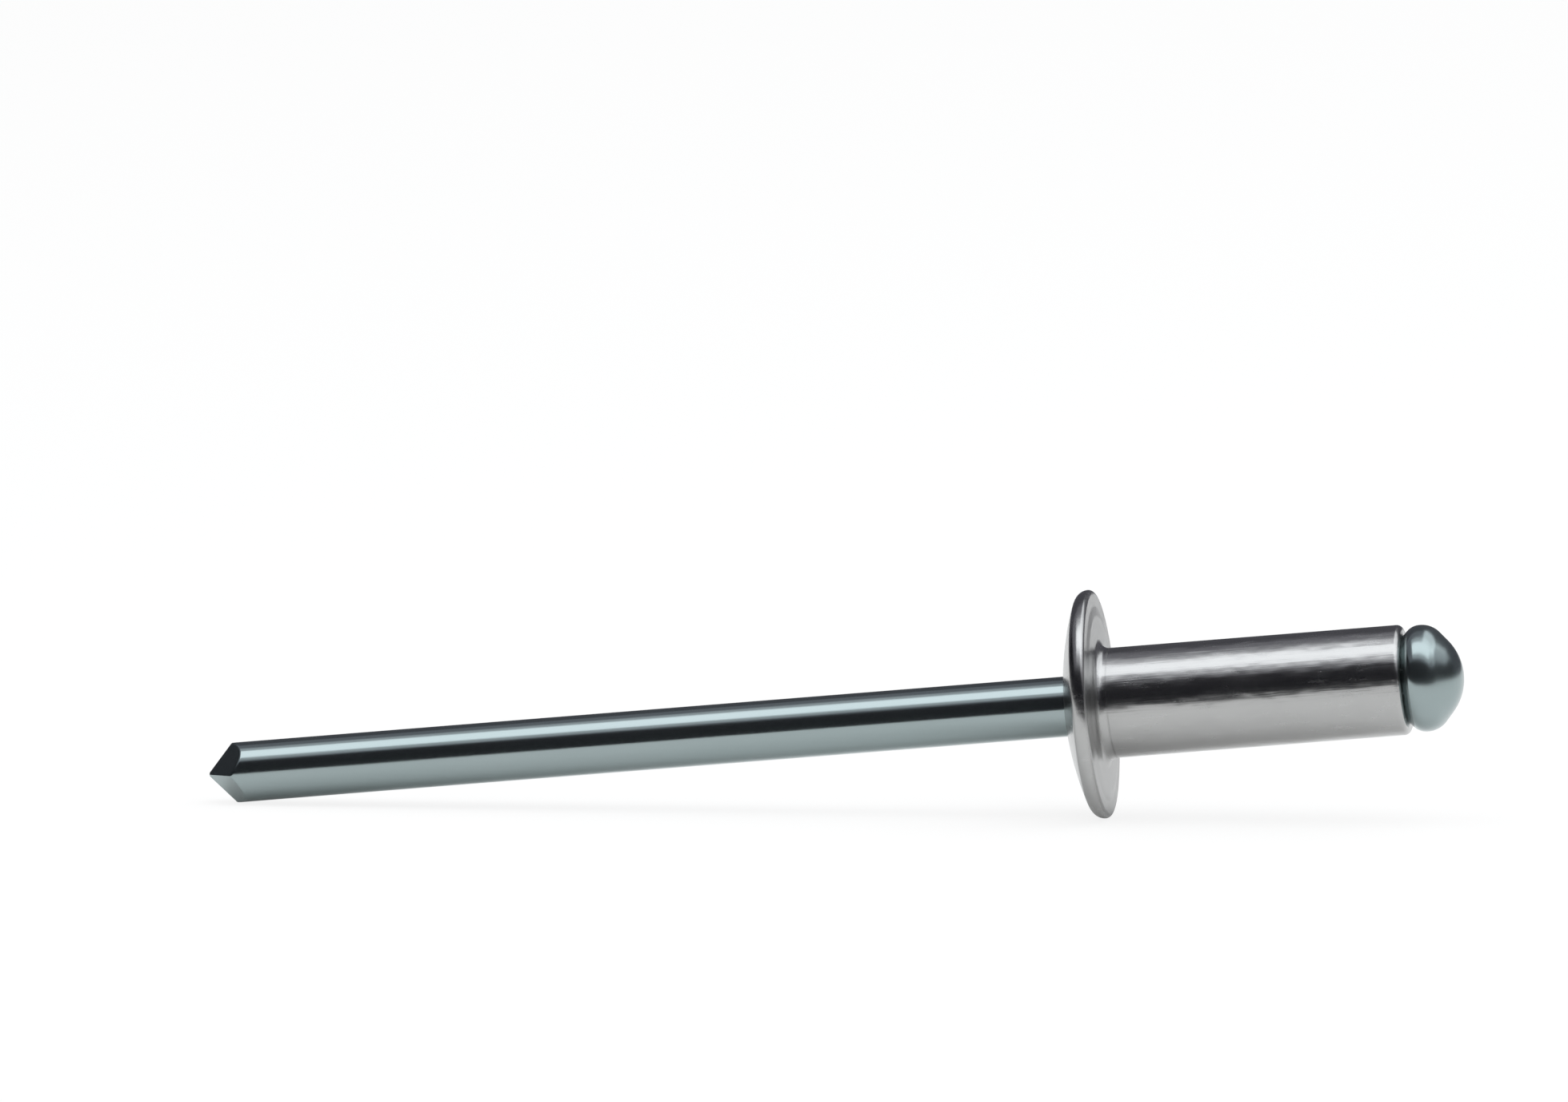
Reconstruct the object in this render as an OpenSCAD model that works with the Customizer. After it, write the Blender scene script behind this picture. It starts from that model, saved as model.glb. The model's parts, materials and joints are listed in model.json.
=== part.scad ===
// Open-end blind rivet on its pulling mandrel, before it is set: a domed aluminium sleeve,
// cold-formed in one piece, and a headed steel pin that passes through it.
// It lies as it comes to rest, on the rim of its flange and on the point of the mandrel.
// Each piece is a section turned about the rivet's axis. In a section, x is the radius, and
// y is 0 on the seat of the flange and grows towards the blind head.

/* [Sleeve] */
// Diameter of the shank, which goes through the hole
shank_d = 3.2; // [3:0.1:4.2]
// Length of the shank, from the seat of the flange to its end
shank_l = 8.9; // [5:0.1:20]
// Radius of the fillet between the shank and the flange
root_r = 0.3; // [0.1:0.05:0.45]
// Radius that rounds the end of the shank
shank_end_r = 0.12; // [0.04:0.01:0.25]
// Chamfer of the bore under the head of the mandrel
bore_mouth = 0.12; // [0.1:0.01:0.18]

/* [Flange] */
// Diameter of the flange
flange_d = 6.65; // [5.8:0.05:9.5]
// Radius of the domed crown
crown_r = 9; // [6:0.5:16]
// Radius that rounds the rim into the crown
rim_r = 0.35; // [0.2:0.05:0.6]
// Radius that rounds the rim on the underside
rim_under_r = 0.15; // [0.05:0.01:0.3]
// Width of the band along the rim that stands back from the seat
rim_band_w = 0.65; // [0.4:0.05:0.9]
// How far that band stands back
seat_step = 0.05; // [0.03:0.01:0.15]
// Chamfer of the hole in the crown
crown_mouth = 0.08; // [0.03:0.01:0.2]
// Length of the land under the crown that grips the mandrel
grip_l = 0.9; // [0.4:0.1:2]

/* [Mandrel] */
// Diameter of the drawn wire
stem_d = 1.75; // [1.4:0.05:1.85]
// How far the mandrel stands out of the crown
pull_l = 25.3; // [18:0.1:45]
// Angle between two opposite facets of the pinched point
point_angle = 77; // [50:1:110]
// Width of the flat left at the tip of the point
point_flat = 0.08; // [0.04:0.01:0.3]
// Diameter left at the break neck
neck_d = 1.25; // [1:0.05:1.3]
// Width of the break neck along the mandrel
neck_w = 0.7; // [0.3:0.05:1.5]
// Distance from the seat of the head to the middle of the break neck
neck_depth = 1.3; // [0.9:0.1:3]

/* [Head of the mandrel] */
// How far the head stays inside the outline of the shank
head_inset = 0.05; // [0:0.01:0.1]
// How much narrower the seat of the head is than the head, on each side
head_undercut = 0.28; // [0.25:0.01:0.36]
// Radius that rounds the underside of the head
head_under_r = 0.5; // [0.1:0.05:0.7]
// Height of the straight band round the head
head_band = 0.03; // [0.02:0.01:0.5]
// Radius of the shoulder of the head
shoulder_r = 0.7; // [0.3:0.05:0.9]
// Radius of the nose of the head
nose_r = 1.6; // [0.8:0.05:1.9]
// Angle of the cone between the shoulder and the nose
nose_angle = 98; // [70:1:130]
// Radius of the fillet between the stem and the head
head_fillet_r = 0.1; // [0.04:0.01:0.12]

/* [Fit] */
// Gap between the stem and the bore, on each side
stem_gap = 0.05; // [0.03:0.01:0.1]
// Gap between the stem and the land that grips it, on each side
grip_gap = 0.01; // [0.005:0.005:0.02]

/* [Hidden] */
$fn = 96;
arc_steps = 12;

shank_r = shank_d / 2;
stem_r = stem_d / 2;
bore_r = stem_r + stem_gap;
grip_r = stem_r + grip_gap;

// Flange: the crown and the rim share a tangent, where both normals lean by crown_lean
flange_r = flange_d / 2;
seat_r = flange_r - rim_band_w;
rim_y = -seat_step - rim_under_r;
rim_centre = [flange_r - rim_r, rim_y];
crown_lean = asin(rim_centre.x / (crown_r - rim_r));
crown_centre = [0, rim_y + (crown_r - rim_r) * cos(crown_lean)];
mouth_r = grip_r + crown_mouth;
mouth_lean = asin(mouth_r / crown_r);
mouth_y = crown_centre.y - crown_r * cos(mouth_lean);
crown_y = crown_centre.y - crown_r;

// Head: every centre follows from the seat on the end of the shank
head_r = shank_r - head_inset;
head_seat_r = head_r - head_undercut;
under_centre = [head_r - head_under_r, shank_l + head_undercut + head_under_r * tan(22.5)];
shoulder_centre = [head_r - shoulder_r, under_centre.y + head_band];
nose_lean = nose_angle / 2;
cone_top_r = nose_r * cos(nose_lean);
cone_foot = shoulder_centre + shoulder_r * [cos(nose_lean), sin(nose_lean)];
cone_top_y = cone_foot.y + (cone_foot.x - cone_top_r) / tan(nose_lean);
nose_centre = [0, cone_top_y - nose_r * sin(nose_lean)];

// Point: four facets meet at an apex just beyond the flat tip
point_lean = point_angle / 2;
tip_y = crown_y - pull_l;
apex_y = tip_y - point_flat / 2 / tan(point_lean);
ridge_foot_y = apex_y + stem_r * cos(45) / tan(point_lean);

// Rest: one line touches the rim and the foot of the lowest ridge of the point
rest_run = rim_y - ridge_foot_y;
rest_drop = rim_centre.x - stem_r;
rest_tilt = atan2(rest_drop, rest_run) + asin(rim_r / norm([rest_run, rest_drop]));
seat_height = rim_centre.x * cos(rest_tilt) - rim_y * sin(rest_tilt) + rim_r;
reach_left = tip_y * cos(rest_tilt);
reach_right = nose_centre.y * cos(rest_tilt) + nose_r;

// Points along an arc, from one angle to another
function arc(centre, r, from, to) = [
    for (i = [0:arc_steps])
        let (a = from + (to - from) * i / arc_steps)
        centre + r * [cos(a), sin(a)]
];

// Lays a piece down from its own axis, with the middle of the rivet's length over the origin
module laid() {
    translate([-(reach_left + reach_right) / 2, 0, seat_height])
        rotate([0, 90 - rest_tilt, 0])
            children();
}

module rivet_body_section() {
    shank_end = arc([shank_r - shank_end_r, shank_l - shank_end_r], shank_end_r, 90, 0);
    root = arc([shank_r + root_r, root_r], root_r, 180, 270);
    rim_under = arc([flange_r - rim_under_r, rim_y], rim_under_r, 90, 0);
    rim = arc(rim_centre, rim_r, 0, crown_lean - 90);
    crown = arc(crown_centre, crown_r, crown_lean - 90, mouth_lean - 90);
    polygon(concat(
        [[bore_r + bore_mouth, shank_l]],
        shank_end,
        root,
        [[seat_r, 0], [seat_r + seat_step, -seat_step]],
        rim_under,
        rim,
        crown,
        [[grip_r, mouth_y + crown_mouth], [grip_r, crown_y + grip_l]],
        [[bore_r, crown_y + grip_l + stem_gap], [bore_r, shank_l - bore_mouth]]
    ));
}

module mandrel_section() {
    neck_y = shank_l - neck_depth;
    neck_wall = (stem_d - neck_d) / 2;
    head_fillet = arc([stem_r + head_fillet_r, shank_l - head_fillet_r], head_fillet_r, 180, 90);
    head_under = arc(under_centre, head_under_r, -45, 0);
    shoulder = arc(shoulder_centre, shoulder_r, 0, nose_lean);
    nose = arc(nose_centre, nose_r, nose_lean, 90);
    polygon(concat(
        [[0, tip_y], [stem_r, tip_y]],
        [[stem_r, neck_y - neck_w / 2], [stem_r - neck_wall, neck_y], [stem_r, neck_y + neck_w / 2]],
        head_fillet,
        [[head_seat_r, shank_l]],
        head_under,
        shoulder,
        nose
    ));
}

// What one pinch of the cutter takes off the point, outside a plane through the apex
module facet_cut() {
    reach = 2 * stem_d;
    translate([0, 0, apex_y])
        rotate([0, point_lean, 0])
            translate([0, -reach / 2, -reach / 2])
                cube([reach, reach, 2 * reach]);
}

module rivet_body() {
    color([0.80, 0.80, 0.81])
        laid()
            rotate_extrude()
                rivet_body_section();
}

module mandrel() {
    color([0.66, 0.73, 0.73])
        laid()
            difference() {
                rotate_extrude()
                    mandrel_section();
                for (turn = [45:90:315])
                    rotate([0, 0, turn])
                        facet_cut();
            }
}

rivet_body();
mandrel();
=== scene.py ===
"""Looks of an open-end blind rivet on its pulling mandrel, before it is set.

Each piece is a section spun about the rivet's own axis. In a section, the first number is the
radius, and the second is 0 on the seat of the flange and grows towards the blind head.
"""

import json
import math

import bmesh
import bpy
from mathutils import Matrix, Vector


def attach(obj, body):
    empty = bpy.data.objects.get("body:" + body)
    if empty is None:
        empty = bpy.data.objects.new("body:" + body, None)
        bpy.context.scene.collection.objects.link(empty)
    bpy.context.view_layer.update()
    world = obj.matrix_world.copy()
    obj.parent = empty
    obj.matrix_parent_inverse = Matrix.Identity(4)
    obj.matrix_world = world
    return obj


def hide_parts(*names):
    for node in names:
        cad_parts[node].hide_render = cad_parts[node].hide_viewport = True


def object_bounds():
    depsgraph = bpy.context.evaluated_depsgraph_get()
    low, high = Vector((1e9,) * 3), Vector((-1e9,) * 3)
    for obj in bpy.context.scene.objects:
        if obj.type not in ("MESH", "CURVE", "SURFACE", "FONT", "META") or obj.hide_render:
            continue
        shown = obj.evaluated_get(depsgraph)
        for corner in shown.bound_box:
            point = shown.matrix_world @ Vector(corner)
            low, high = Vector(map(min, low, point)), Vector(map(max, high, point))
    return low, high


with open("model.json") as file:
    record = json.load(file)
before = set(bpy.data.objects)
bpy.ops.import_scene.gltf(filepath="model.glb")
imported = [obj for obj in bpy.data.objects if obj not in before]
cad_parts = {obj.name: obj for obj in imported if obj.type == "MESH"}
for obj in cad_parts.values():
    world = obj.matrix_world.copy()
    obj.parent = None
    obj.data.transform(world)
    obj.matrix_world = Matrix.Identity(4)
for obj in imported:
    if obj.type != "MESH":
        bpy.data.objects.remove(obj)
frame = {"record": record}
cad_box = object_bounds()

MM = 0.001
RIGHT_ANGLE = math.pi / 2

# Sleeve
SHANK_R = 1.6 * MM
SHANK_L = 8.9 * MM
SHANK_END_R = 0.18 * MM
ROOT_R = 0.3 * MM
BORE_R = 0.925 * MM
BORE_MOUTH = 0.12 * MM
GRIP_R = 0.885 * MM
GRIP_L = 0.9 * MM

# Flange
FLANGE_R = 3.325 * MM
CROWN_R = 9 * MM
RIM_R = 0.35 * MM
RIM_UNDER_R = 0.15 * MM
RIM_BAND_W = 0.65 * MM
SEAT_STEP = 0.05 * MM
SEAT_STEP_RUN = 0.12 * MM
SEAT_STEP_R = 0.6 * MM
CROWN_MOUTH = 0.08 * MM

# Mandrel
STEM_R = 0.875 * MM
PULL_L = 25.3 * MM
POINT_LEAN = math.radians(38.5)
POINT_FLAT = 0.08 * MM
POINT_FACETS = 4
POINT_CRISPNESS = 90
POINT_SPARE = 1.1
NECK_R = 0.625 * MM
NECK_W = 0.7 * MM
NECK_DEPTH = 1.3 * MM

# Head of the mandrel
HEAD_R = 1.55 * MM
HEAD_UNDERCUT = 0.28 * MM
HEAD_UNDER_R = 0.5 * MM
HEAD_BAND = 0.03 * MM
SHOULDER_R = 0.7 * MM
NOSE_R = 1.6 * MM
NOSE_LEAN = math.radians(49)
HEAD_FILLET_R = 0.1 * MM

# Worked out from those sizes
RIM_Y = -SEAT_STEP - RIM_UNDER_R
CROWN_LEAN = math.asin((FLANGE_R - RIM_R) / (CROWN_R - RIM_R))
CROWN_CENTRE_Y = RIM_Y + (CROWN_R - RIM_R) * math.cos(CROWN_LEAN)
CROWN_TOP_Y = CROWN_CENTRE_Y - CROWN_R
TIP_Y = CROWN_TOP_Y - PULL_L
APEX_Y = TIP_Y - POINT_FLAT / 2 / math.tan(POINT_LEAN)
POINT_FOOT_Y = APEX_Y + POINT_SPARE * STEM_R / math.tan(POINT_LEAN)

# Finish of the meshes
EDGE_R = 0.015 * MM
STEPS_ROUND = 256
ARC_STEPS = 14
CORNER_STEPS = 3
SHANK_STEPS = 10
CROWN_STEPS = 24
POINT_STEPS = 64
STEM_STEPS = 24
SHOULDER_STEPS = 20
NOSE_STEPS = 24
MERGE_DISTANCE = 0.0002 * MM
SHARP_ANGLE = math.radians(35)

# Metals
ALUMINIUM_COLORS = ((0.4, 0.4, 0.395, 1), (0.455, 0.455, 0.45, 1))
SCUFF_COLOR = (0.54, 0.54, 0.54, 1)
SCUFF_STOPS = ((0.54, 0), (0.74, 1))
ZINC_COLORS = ((0.285, 0.345, 0.345, 1), (0.325, 0.375, 0.38, 1))
ZINC_METALLIC = 0.97

# Where a finish starts to change and over what length, in millimetres
UNDERSIDE_FROM_AXIS = (1.65, 0.125)
UNDERSIDE_ALONG = (-0.12, 0.05)
SHANK_ALONG = (0, 1 / 3)
HEAD_ALONG = (SHANK_L / MM, 1)

# Camera, found from the outlines in the photograph
CAMERA_AZIMUTH = math.radians(8.09)
CAMERA_ELEVATION = math.radians(6.65)
CAMERA_LENS = 800
CAMERA_REACH = 10
SENSOR_WIDTH = 36
VIEW_WIDTH = 45.54 * MM
AIM_RIGHT = -1.482 * MM
AIM_UP = 4.32 * MM

# Studio
FLOOR_SIZE = 2
FLOOR_DROP = 0.005 * MM
FLOOR_COLOR = (0.85, 0.85, 0.85, 1)
FLOOR_GLOW = 0.85
FLOOR_GLOW_IN_METAL = 0.1
AMBIENT = 0.7
WHITE = (1, 1, 1, 1)
LAMP_COLOR = (0.95, 0.98, 1)
FLAG_COLOR = (0.012, 0.012, 0.016, 1)
BACK_COLOR = (0.09, 0.09, 0.105, 1)
CEILING_COLOR = (0.24, 0.24, 0.27, 1)


# Sections

def arc(centre, radius, start, end, steps=ARC_STEPS):
    """Points along an arc, from one angle to another."""
    angles = [start + (end - start) * i / steps for i in range(steps + 1)]
    return [
        Vector((centre[0] + radius * math.cos(angle), centre[1] + radius * math.sin(angle)))
        for angle in angles
    ]


def corner(before, at, after, radius=EDGE_R):
    """The arc that rounds one corner of a section."""
    before, at, after = Vector(before), Vector(at), Vector(after)
    to_before = (before - at).normalized()
    to_after = (after - at).normalized()
    half = to_before.angle(to_after) / 2
    centre = at + (to_before + to_after).normalized() * (radius / math.sin(half))
    first = at + to_before * (radius / math.tan(half)) - centre
    last = at + to_after * (radius / math.tan(half)) - centre
    turns = [i / CORNER_STEPS for i in range(CORNER_STEPS + 1)]
    return [centre + radius * first.slerp(last, turn) for turn in turns]


def rounded(points, radius=EDGE_R):
    """A run of straight lines with its inner corners rounded. Its two ends stay put."""
    run = [Vector(points[0])]
    for before, at, after in zip(points, points[1:], points[2:]):
        run += corner(before, at, after, radius)
    return run + [Vector(points[-1])]


def divided(start, end, steps):
    """Evenly spaced points from start to just before end."""
    return [Vector(start).lerp(Vector(end), i / steps) for i in range(steps)]


def sleeve_section():
    """The sleeve's outline: down the shank, over the flange and back up through the bore."""
    shank_end = arc((SHANK_R - SHANK_END_R, SHANK_L - SHANK_END_R), SHANK_END_R, RIGHT_ANGLE, 0)
    root = arc((SHANK_R + ROOT_R, ROOT_R), ROOT_R, 2 * RIGHT_ANGLE, 3 * RIGHT_ANGLE)
    shank = divided(shank_end[-1], root[0], SHANK_STEPS)[1:]

    seat_r = FLANGE_R - RIM_BAND_W
    rim_under = arc((FLANGE_R - RIM_UNDER_R, RIM_Y), RIM_UNDER_R, RIGHT_ANGLE, 0)
    seat = rounded([
        root[-1],
        (seat_r - SEAT_STEP_RUN, 0),
        (seat_r + SEAT_STEP + SEAT_STEP_RUN, -SEAT_STEP),
        rim_under[0],
    ], SEAT_STEP_R)[1:-1]

    mouth_r = GRIP_R + CROWN_MOUTH
    mouth_lean = math.asin(mouth_r / CROWN_R)
    mouth_y = CROWN_CENTRE_Y - CROWN_R * math.cos(mouth_lean)
    crown_start = CROWN_LEAN - RIGHT_ANGLE
    crown_end = mouth_lean - RIGHT_ANGLE
    rim = arc((FLANGE_R - RIM_R, RIM_Y), RIM_R, 0, crown_start)[1:]
    crown = arc((0, CROWN_CENTRE_Y), CROWN_R, crown_start, crown_end, CROWN_STEPS)[1:-1]

    land_y = CROWN_TOP_Y + GRIP_L
    bore = rounded([
        crown[-1],
        (mouth_r, mouth_y),
        (GRIP_R, mouth_y + CROWN_MOUTH),
        (GRIP_R, land_y),
        (BORE_R, land_y + BORE_R - GRIP_R),
        (BORE_R, SHANK_L - BORE_MOUTH),
        (BORE_R + BORE_MOUTH, SHANK_L),
        shank_end[0],
    ])[1:-1]
    return shank_end + shank + root + seat + rim_under + rim + crown + bore


def mandrel_section():
    """The mandrel's outline, from the middle of its tip along the stem and over the head."""
    neck_y = SHANK_L - NECK_DEPTH
    neck_start = (STEM_R, neck_y - NECK_W / 2)
    point_foot = (STEM_R, POINT_FOOT_Y)
    point = divided((STEM_R, TIP_Y), point_foot, POINT_STEPS)
    stem = divided(point_foot, neck_start, STEM_STEPS)
    neck = rounded([
        stem[-1],
        neck_start,
        (NECK_R, neck_y),
        (STEM_R, neck_y + NECK_W / 2),
        (STEM_R, SHANK_L - HEAD_FILLET_R),
    ])[1:-1]

    fillet_centre = (STEM_R + HEAD_FILLET_R, SHANK_L - HEAD_FILLET_R)
    under_y = SHANK_L + HEAD_UNDERCUT + HEAD_UNDER_R * math.tan(RIGHT_ANGLE / 4)
    fillet = arc(fillet_centre, HEAD_FILLET_R, 2 * RIGHT_ANGLE, RIGHT_ANGLE)
    under = arc((HEAD_R - HEAD_UNDER_R, under_y), HEAD_UNDER_R, -RIGHT_ANGLE / 2, 0)
    seat = corner(fillet[-1], (HEAD_R - HEAD_UNDERCUT, SHANK_L), under[0])

    shoulder_centre = (HEAD_R - SHOULDER_R, under_y + HEAD_BAND)
    shoulder = arc(shoulder_centre, SHOULDER_R, 0, NOSE_LEAN, SHOULDER_STEPS)
    cone_foot_r, cone_foot_y = shoulder[-1]
    cone_top_r = NOSE_R * math.cos(NOSE_LEAN)
    cone_top_y = cone_foot_y + (cone_foot_r - cone_top_r) / math.tan(NOSE_LEAN)
    nose_centre = (0, cone_top_y - NOSE_R * math.sin(NOSE_LEAN))
    nose = arc(nose_centre, NOSE_R, NOSE_LEAN, RIGHT_ANGLE, NOSE_STEPS)
    return [Vector((0, TIP_Y))] + point + stem + neck + fillet + seat + under + shoulder + nose


# Pieces

def rivet_axes():
    """The rivet's own axes: z along the shank, from the seat of the flange to the blind head."""
    mounts = {mount["name"]: mount for mount in frame["record"]["mounts"]}
    along = Vector(mounts["shank"]["axis"]).normalized()
    on_axis = Vector(mounts["shank"]["pos_m"])
    seat = on_axis + along * (Vector(mounts["flange_seat"]["pos_m"]) - on_axis).dot(along)
    side = Vector((0, 1, 0))
    turn = Matrix((side.cross(along), side, along)).transposed()
    return Matrix.Translation(seat) @ turn.to_4x4()


def spun(section, closed):
    """A mesh of the section turned all the way round the z axis."""
    bm = bmesh.new()
    verts = [bm.verts.new((radius, 0, along)) for radius, along in section]
    edges = [bm.edges.new(pair) for pair in zip(verts, verts[1:])]
    if closed:
        edges.append(bm.edges.new((verts[-1], verts[0])))
    bmesh.ops.spin(
        bm, geom=verts + edges, cent=(0, 0, 0), axis=(0, 0, 1), angle=math.tau,
        steps=STEPS_ROUND, use_merge=True)
    bmesh.ops.remove_doubles(bm, verts=bm.verts, dist=MERGE_DISTANCE)
    return bm


def pinch(bm):
    """Presses the facets of the point into the end of the stem, but not into its middle.

    The higher the crispness, the sharper the ridges between them.
    """
    facets = [math.tau * (i + 0.5) / POINT_FACETS for i in range(POINT_FACETS)]
    for vert in bm.verts:
        x, y, z = vert.co
        radius = math.hypot(x, y)
        if z > POINT_FOOT_Y or radius < STEM_R / 2:
            continue
        reach = (z - APEX_Y) * math.tan(POINT_LEAN)
        toward = [math.cos(math.atan2(y, x) - facet) for facet in facets]
        limits = [STEM_R / radius] + [reach / radius / t for t in toward if t > 0]
        shrink = sum(limit ** -POINT_CRISPNESS for limit in limits) ** (-1 / POINT_CRISPNESS)
        vert.co.x *= shrink
        vert.co.y *= shrink


def linked(name, data):
    """A new object in the scene."""
    made = bpy.data.objects.new(name, data)
    bpy.context.scene.collection.objects.link(made)
    return made


def meshed(bm, name, material):
    """A new object in the scene, with that mesh and material."""
    mesh = bpy.data.meshes.new(name)
    bm.to_mesh(mesh)
    bm.free()
    mesh.materials.append(material)
    return linked(name, mesh)


def add_piece(bm, name, node, material):
    """Adds the piece that stands for a CAD node, in its place on the rivet."""
    bmesh.ops.recalc_face_normals(bm, faces=bm.faces)
    for face in bm.faces:
        face.smooth = True
    bmesh.ops.transform(bm, matrix=rivet_axes(), verts=bm.verts)
    piece = meshed(bm, name, material)
    piece.data.set_sharp_from_angle(angle=SHARP_ANGLE)
    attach(piece, "root")
    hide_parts(node)


# Materials

class Socket:
    """A node's output. Arithmetic on it adds Math nodes to its shader."""

    def __init__(self, shader, output):
        self.shader = shader
        self.output = output

    def other(self, name):
        """Another output of the same node."""
        return Socket(self.shader, self.output.node.outputs[name])

    def math(self, operation, *values):
        """A Math node's output."""
        return self.shader.node("ShaderNodeMath", {"operation": operation}, *values)

    def __add__(self, value):
        return self.math("ADD", self, value)

    def __sub__(self, value):
        return self.math("SUBTRACT", self, value)

    def __rsub__(self, value):
        return self.math("SUBTRACT", value, self)

    def __mul__(self, value):
        return self.math("MULTIPLY", self, value)

    def __pow__(self, value):
        return self.math("POWER", self, value)

    def __rpow__(self, value):
        return self.math("POWER", value, self)

    __radd__ = __add__
    __rmul__ = __mul__

    def clamped(self):
        """The value held between 0 and 1."""
        return self.math("MINIMUM", self.math("MAXIMUM", self, 0), 1)

    def rise(self, start, run):
        """0 up to the start, then evenly up to 1 over the run."""
        return ((self - start) * (1 / run)).clamped()


def set_stops(ramp, stops):
    """Gives a ramp its stops: where each one is, and its level of grey."""
    while len(ramp.elements) < len(stops):
        ramp.elements.new(1)
    for element, (position, level) in zip(ramp.elements, stops):
        element.position = position
        element.color = (level, level, level, 1)


class Shader:
    """The nodes of one material or world."""

    def __init__(self, owner):
        owner.use_nodes = True
        self.tree = owner.node_tree
        self.tree.nodes.clear()

    def node(self, kind, settings=None, *values, **named):
        """Adds a node. Its settings come first, then its sockets in order, then those by name."""
        made = self.tree.nodes.new(kind)
        for key, value in (settings or {}).items():
            if key == "stops":
                set_stops(made.color_ramp, value)
            else:
                setattr(made, key, value)
        for socket, value in zip([socket for socket in made.inputs if socket.enabled], values):
            self.feed(socket, value)
        for key, value in named.items():
            self.feed(made.inputs[key.replace("_", " ")], value)
        return Socket(self, next((out for out in made.outputs if out.enabled), None))

    def feed(self, socket, value):
        """Links a socket to a node's output, or sets it to a plain value."""
        if isinstance(value, Socket):
            self.tree.links.new(value.output, socket)
        else:
            socket.default_value = value

    def mixed(self, factor, first, second):
        """A colour between two others."""
        return self.node("ShaderNodeMix", {"data_type": "RGBA"}, factor, first, second)

    def views(self):
        """Two masks: where the camera sees the surface itself, and where metal or glass does."""
        path = self.node("ShaderNodeLightPath")
        shown = path.other("Is Glossy Ray") + path.other("Is Transmission Ray")
        return path.other("Is Camera Ray"), shown

    def close(self, surface, kind="ShaderNodeOutputMaterial"):
        """Adds the output, which ends the nodes."""
        self.node(kind, None, surface)


class MetalShader(Shader):
    """A metal of the rivet, with its patterns in millimetres along the rivet's own axes."""

    def __init__(self, name):
        self.material = bpy.data.materials.new(name)
        super().__init__(self.material)
        place, turn, _ = rivet_axes().decompose()
        laid = self.node(
            "ShaderNodeMapping", {"vector_type": "TEXTURE"},
            self.node("ShaderNodeTexCoord").other("Object"), place, turn.to_euler())
        self.point = self.node("ShaderNodeVectorMath", {"operation": "SCALE"}, laid, Scale=1 / MM)
        self.along = self.node("ShaderNodeSeparateXYZ", None, self.point).other("Z")

    def noise(self, grain, detail=3, roughness=0.5, coordinates=None):
        """Noise with that many grains to a millimetre along x, y and z, from 0 to 1."""
        point = self.node(
            "ShaderNodeVectorMath", {"operation": "MULTIPLY"}, coordinates or self.point, grain)
        return self.node(
            "ShaderNodeTexNoise", None, Vector=point, Scale=1, Detail=detail, Roughness=roughness)

    def radius(self):
        """Distance from the axis."""
        x = self.node("ShaderNodeSeparateXYZ", None, self.point)
        y = x.other("Y")
        return (x * x + y * y) ** 0.5

    def rings(self, grain, detail=3):
        """Noise that runs in rings round the axis."""
        flat = self.node("ShaderNodeCombineXYZ", None, self.radius(), 0, self.along)
        return self.noise((grain, grain, grain), detail, coordinates=flat)

    def metal(self, color, roughness, relief, metallic=1):
        """Closes the material. The relief is a height in millimetres."""
        normal = self.node("ShaderNodeBump", None, Strength=1, Distance=MM, Height=relief)
        surface = self.node(
            "ShaderNodeBsdfPrincipled", None,
            Base_Color=color, Roughness=roughness, Metallic=metallic, Normal=normal)
        self.close(surface)
        return self.material


def aluminium():
    """Plain cold-formed aluminium: satin, with die marks along the shank and small scuffs."""
    shader = MetalShader("aluminium")
    clouds = shader.noise((0.9, 0.9, 0.5), detail=5, roughness=0.6)
    grain = shader.noise((16, 16, 16))
    die_marks = shader.noise((7, 7, 0.25), detail=4, roughness=0.6)
    dents = shader.noise((1.3, 1.3, 0.7), detail=2)
    turning = shader.rings(14)
    scuffs = shader.node(
        "ShaderNodeValToRGB", {"stops": SCUFF_STOPS},
        shader.noise((5, 5, 1.4), detail=6, roughness=0.7))
    underside = shader.radius().rise(*UNDERSIDE_FROM_AXIS) * shader.along.rise(*UNDERSIDE_ALONG)
    shank = shader.along.rise(*SHANK_ALONG)
    color = shader.mixed(clouds, *ALUMINIUM_COLORS)
    color = shader.mixed(scuffs * 0.3, color, SCUFF_COLOR)
    roughness = 0.18 + 0.11 * clouds + 0.08 * scuffs + 0.12 * underside
    relief = dents * (0.01 + 0.024 * shank) + 0.006 * die_marks * shank
    relief = relief + 0.0002 * grain + 0.0005 * turning
    return shader.metal(color, roughness, relief)


def plated_steel():
    """Drawn steel wire with a bright zinc plate, which has a faint blue-green cast."""
    shader = MetalShader("plated_steel")
    tint = shader.noise((0.5, 0.5, 0.12))
    draw_marks = shader.noise((16, 16, 0.12), detail=5, roughness=0.6)
    waves = shader.noise((1.6, 1.6, 0.3), detail=2)
    grain = shader.noise((22, 22, 22))
    peel = shader.noise((3.2, 3.2, 3.2), detail=2)
    head = shader.along.rise(*HEAD_ALONG)
    color = shader.mixed(tint, *ZINC_COLORS)
    roughness = 0.11 + 0.08 * draw_marks + 0.09 * head
    relief = (1 - head) * (0.0008 * draw_marks + 0.0008 * waves)
    relief = relief + 0.0002 * grain + 0.0012 * peel * head
    return shader.metal(color, roughness, relief, metallic=ZINC_METALLIC)


# Studio

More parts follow.
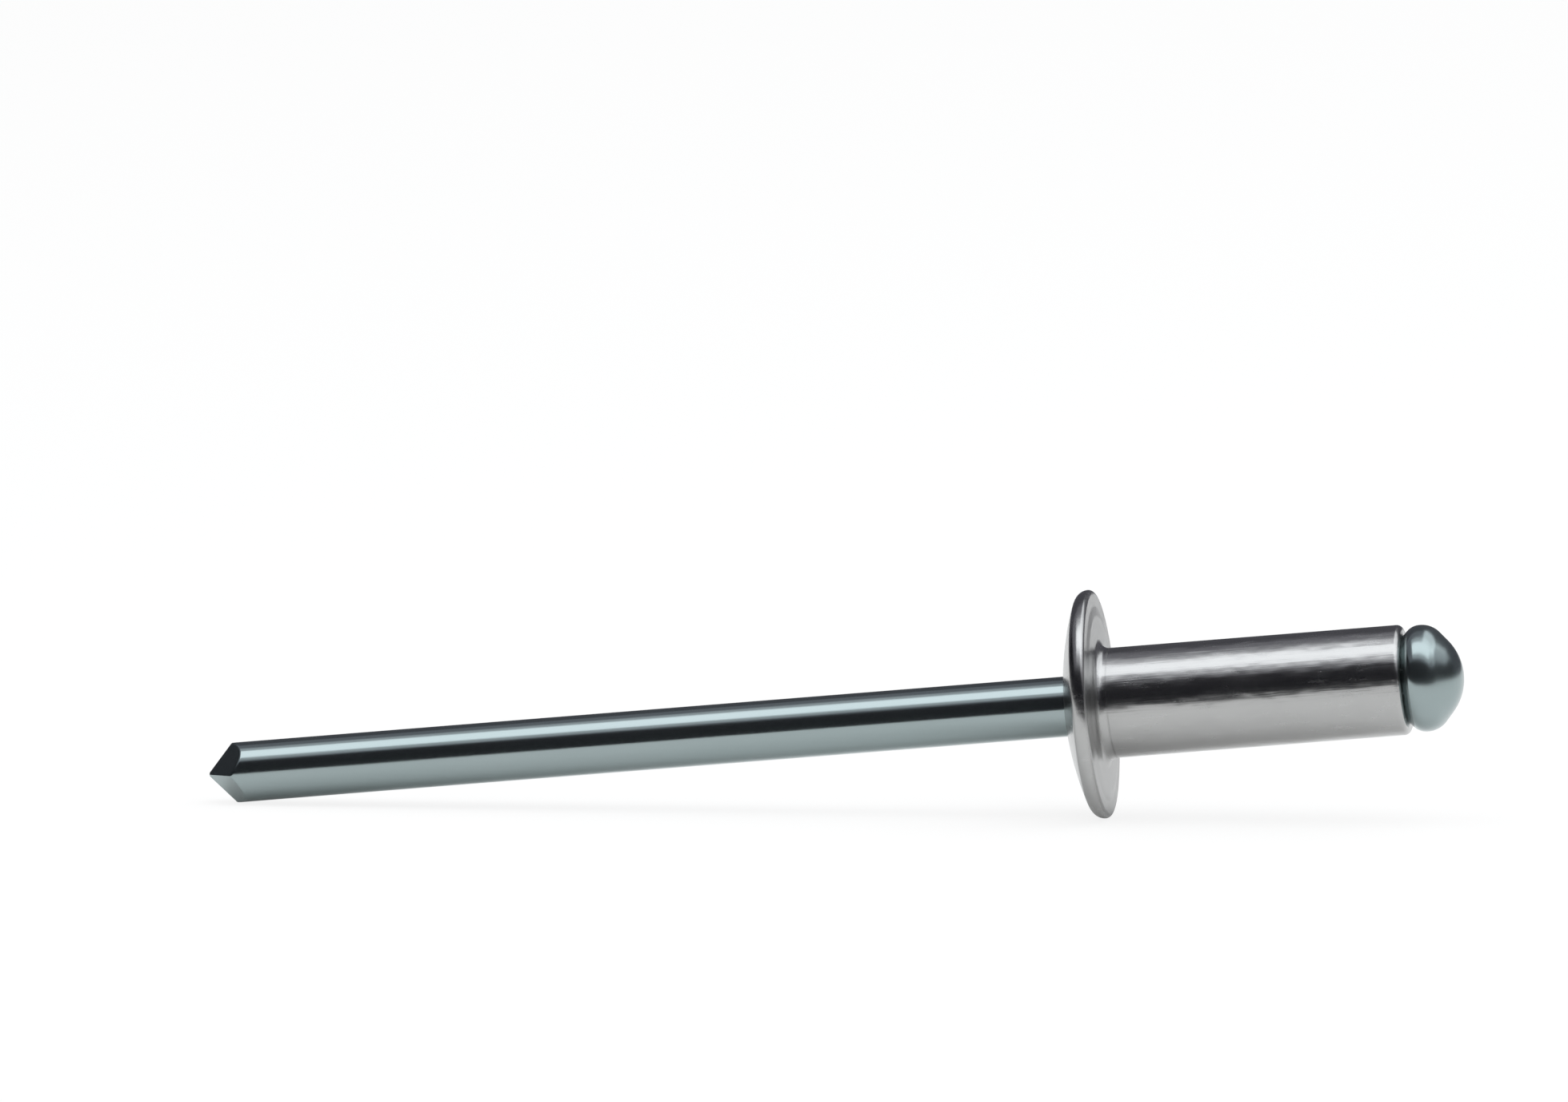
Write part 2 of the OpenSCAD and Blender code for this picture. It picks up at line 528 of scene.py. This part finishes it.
def add_floor():
    """A floor that keeps the rivet's shadow: near white to the camera, dimmer in the metal."""
    bm = bmesh.new()
    bmesh.ops.create_grid(bm, x_segments=1, y_segments=1, size=FLOOR_SIZE / 2)
    bmesh.ops.translate(bm, vec=(0, 0, -FLOOR_DROP), verts=bm.verts)
    material = bpy.data.materials.new("floor")
    shader = Shader(material)
    seen, shown = shader.views()
    glow = seen * FLOOR_GLOW + shown * FLOOR_GLOW_IN_METAL
    matt = shader.node("ShaderNodeBsdfDiffuse", None, FLOOR_COLOR)
    white = shader.node("ShaderNodeEmission", None, WHITE, 1)
    shader.close(shader.node("ShaderNodeMixShader", None, glow, matt, white))
    meshed(bm, "floor", material)


def add_card(name, color, foot, up, along):
    """A card of even brightness that shows only in the metal, from one corner and two edges."""
    bm = bmesh.new()
    verts = [bm.verts.new(foot), bm.verts.new(Vector(foot) + Vector(up))]
    edge = bm.edges.new(verts)
    drawn = bmesh.ops.extrude_edge_only(bm, edges=[edge])["geom"]
    far_end = [part for part in drawn if isinstance(part, bmesh.types.BMVert)]
    bmesh.ops.translate(bm, vec=along, verts=far_end)
    material = bpy.data.materials.new(name)
    shader = Shader(material)
    shader.close(shader.node("ShaderNodeEmission", None, color, 1))
    card = meshed(bm, name, material)
    card.visible_camera = False
    card.visible_diffuse = False
    card.visible_shadow = False


def add_softbox(name, centre, size, radiance, aim=None):
    """A rectangular lamp that faces down, or towards a point."""
    lamp = bpy.data.lights.new(name, "AREA")
    lamp.shape = "RECTANGLE"
    lamp.size, lamp.size_y = size
    lamp.color = LAMP_COLOR
    lamp.energy = radiance * math.pi * lamp.size * lamp.size_y
    softbox = linked(name, lamp)
    softbox.location = centre
    if aim:
        back = Vector(centre) - Vector(aim)
        softbox.rotation_euler = back.to_track_quat("Z", "Y").to_euler()
    softbox.visible_camera = False


def add_world():
    """White where the camera or the metal sees it, and an even ambient light elsewhere."""
    world = bpy.data.worlds.new("world")
    bpy.context.scene.world = world
    shader = Shader(world)
    seen, shown = shader.views()
    strength = (seen + shown).clamped() * (1 - AMBIENT) + AMBIENT
    surface = shader.node("ShaderNodeBackground", None, WHITE, strength)
    shader.close(surface, "ShaderNodeOutputWorld")


def add_camera():
    """A camera with the photograph's viewing angle and framing."""
    back = Vector((
        math.sin(CAMERA_AZIMUTH) * math.cos(CAMERA_ELEVATION),
        -math.cos(CAMERA_AZIMUTH) * math.cos(CAMERA_ELEVATION),
        math.sin(CAMERA_ELEVATION)))
    turn = back.to_track_quat("Z", "Y")
    low, high = cad_box
    aim = (low + high) / 2 + turn @ Vector((AIM_RIGHT, AIM_UP, 0))
    data = bpy.data.cameras.new("camera")
    data.lens = CAMERA_LENS
    data.sensor_width = SENSOR_WIDTH
    data.clip_end = CAMERA_REACH
    camera = linked("camera", data)
    camera.rotation_mode = "QUATERNION"
    camera.rotation_quaternion = turn
    camera.location = aim + back * (CAMERA_LENS / SENSOR_WIDTH * VIEW_WIDTH)
    bpy.context.scene.camera = camera


add_camera()
add_piece(spun(sleeve_section(), closed=True), "sleeve", "rivet_body", aluminium())
pin = spun(mandrel_section(), closed=False)
pinch(pin)
add_piece(pin, "pin", "mandrel", plated_steel())

add_floor()
add_card("front_flag", FLAG_COLOR, foot=(-1, -0.034, 0), up=(0, -0.326, 0.37), along=(2, 0, 0))
add_card("back_flag", BACK_COLOR, foot=(-1, 0.36, 0), up=(0, -0.06, 0.37), along=(2, 0, 0))
add_card("left_flag", FLAG_COLOR, foot=(-0.6, -0.4, 0), up=(0, 0, 0.4), along=(0, 0.8, 0))
add_card("right_flag", FLAG_COLOR, foot=(0.6, -0.4, 0), up=(0, 0, 0.25), along=(0, 0.8, 0))
add_card("ceiling", CEILING_COLOR, foot=(-1, -1, 0.4), up=(0, 2, 0), along=(2, 0, 0))
add_softbox("softbox_core", centre=(0.07, -0.0725, 0.3), size=(0.46, 0.175), radiance=1.37)
add_softbox("softbox_edge", centre=(0.13, -0.0775, 0.31), size=(0.64, 0.345), radiance=0.5)
add_softbox(
    "softbox_side", centre=(0.44, 0.1, 0.33), size=(0.42, 0.24), radiance=0.5, aim=(0.01, 0, 0))
add_softbox("softbox_back", centre=(0.225, 0.19, 0.3), size=(0.35, 0.38), radiance=1.1)
add_world()
bpy.context.scene.view_settings.view_transform = "Standard"
